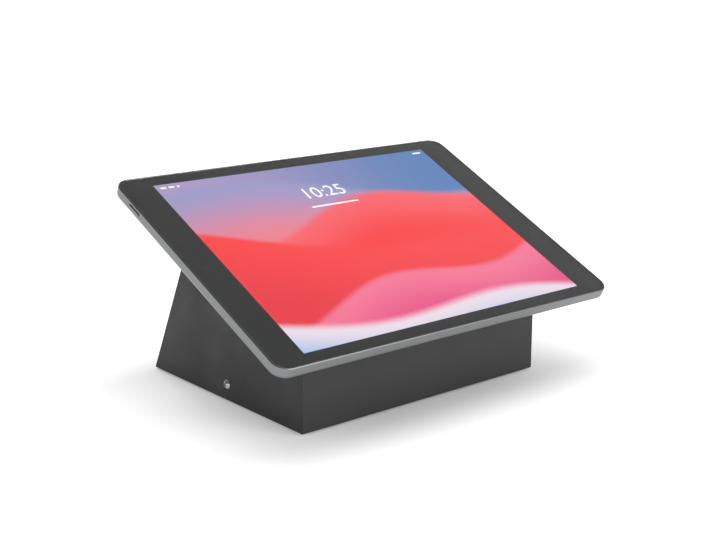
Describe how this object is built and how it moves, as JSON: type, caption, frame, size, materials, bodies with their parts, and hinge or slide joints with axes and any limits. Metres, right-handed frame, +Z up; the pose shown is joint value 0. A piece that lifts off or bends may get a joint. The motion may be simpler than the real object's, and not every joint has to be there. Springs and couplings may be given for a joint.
{
  "type": "tablet security kiosk stand",
  "caption": "Counter stand: a folded steel wedge carries a landscape tablet on its sloping top, and security screws hold the wedge to a base plate that bolts to the counter.",
  "frame": {"origin": "on the counter, under the middle of the whole object's box", "axes": "+X to the right of someone facing the screen, +Y to the back, +Z up"},
  "size_m": [0.2512, 0.1814, 0.1252],
  "materials": {
    "powder_coat": "matte",
    "coated_plate": "satin",
    "stainless": "satin",
    "zinc_steel": "satin",
    "rubber": "matte",
    "foam_tape": "matte",
    "anodised_aluminium": "satin",
    "cover_glass": "gloss",
    "black_print": "satin",
    "screen": "gloss",
    "battery_foil": "satin",
    "circuit_board": "satin",
    "black_plastic": "satin",
    "lens_glass": "gloss",
    "port_steel": "satin"
  },
  "bodies": {
    "stand": {"wrap_sheet": "powder_coat", "side_panel_left": "powder_coat", "side_panel_right": "powder_coat", "base_plate": "coated_plate", "rubber_feet": "rubber", "side_screws": "stainless", "clinch_nuts": "zinc_steel", "cable_notch_trim": "rubber", "side_grommet": "rubber", "carrier_plate": "coated_plate", "carrier_studs": "zinc_steel", "flange_nuts": "zinc_steel", "adhesive_pads": "foam_tape", "rear_housing": "anodised_aluminium", "glass_gasket": "black_print", "cover_glass": "cover_glass", "bezel_mask": "black_print", "display_panel": "screen", "battery_left": "battery_foil", "battery_right": "battery_foil", "logic_board": "circuit_board", "speakers": "black_plastic", "front_camera": "black_plastic", "rear_camera": "black_plastic", "camera_lens": "lens_glass", "charge_port": "port_steel", "switch_blocks": "black_plastic"},
    "power": {"power_button": "anodised_aluminium"},
    "volume_up": {"volume_up_button": "anodised_aluminium"},
    "volume_down": {"volume_down_button": "anodised_aluminium"}
  },
  "joints": [
    {"name": "power_press", "type": "slide", "parent": "stand", "child": "power", "axis": [1, 0, 0], "range_m": [0, 0.00035], "stiffness_N_per_m": 4000},
    {"name": "volume_up_press", "type": "slide", "parent": "stand", "child": "volume_up", "axis": [0, -0.9063, -0.4226], "range_m": [0, 0.00035], "stiffness_N_per_m": 4000},
    {"name": "volume_down_press", "type": "slide", "parent": "stand", "child": "volume_down", "axis": [0, -0.9063, -0.4226], "range_m": [0, 0.00035], "stiffness_N_per_m": 4000}
  ]
}
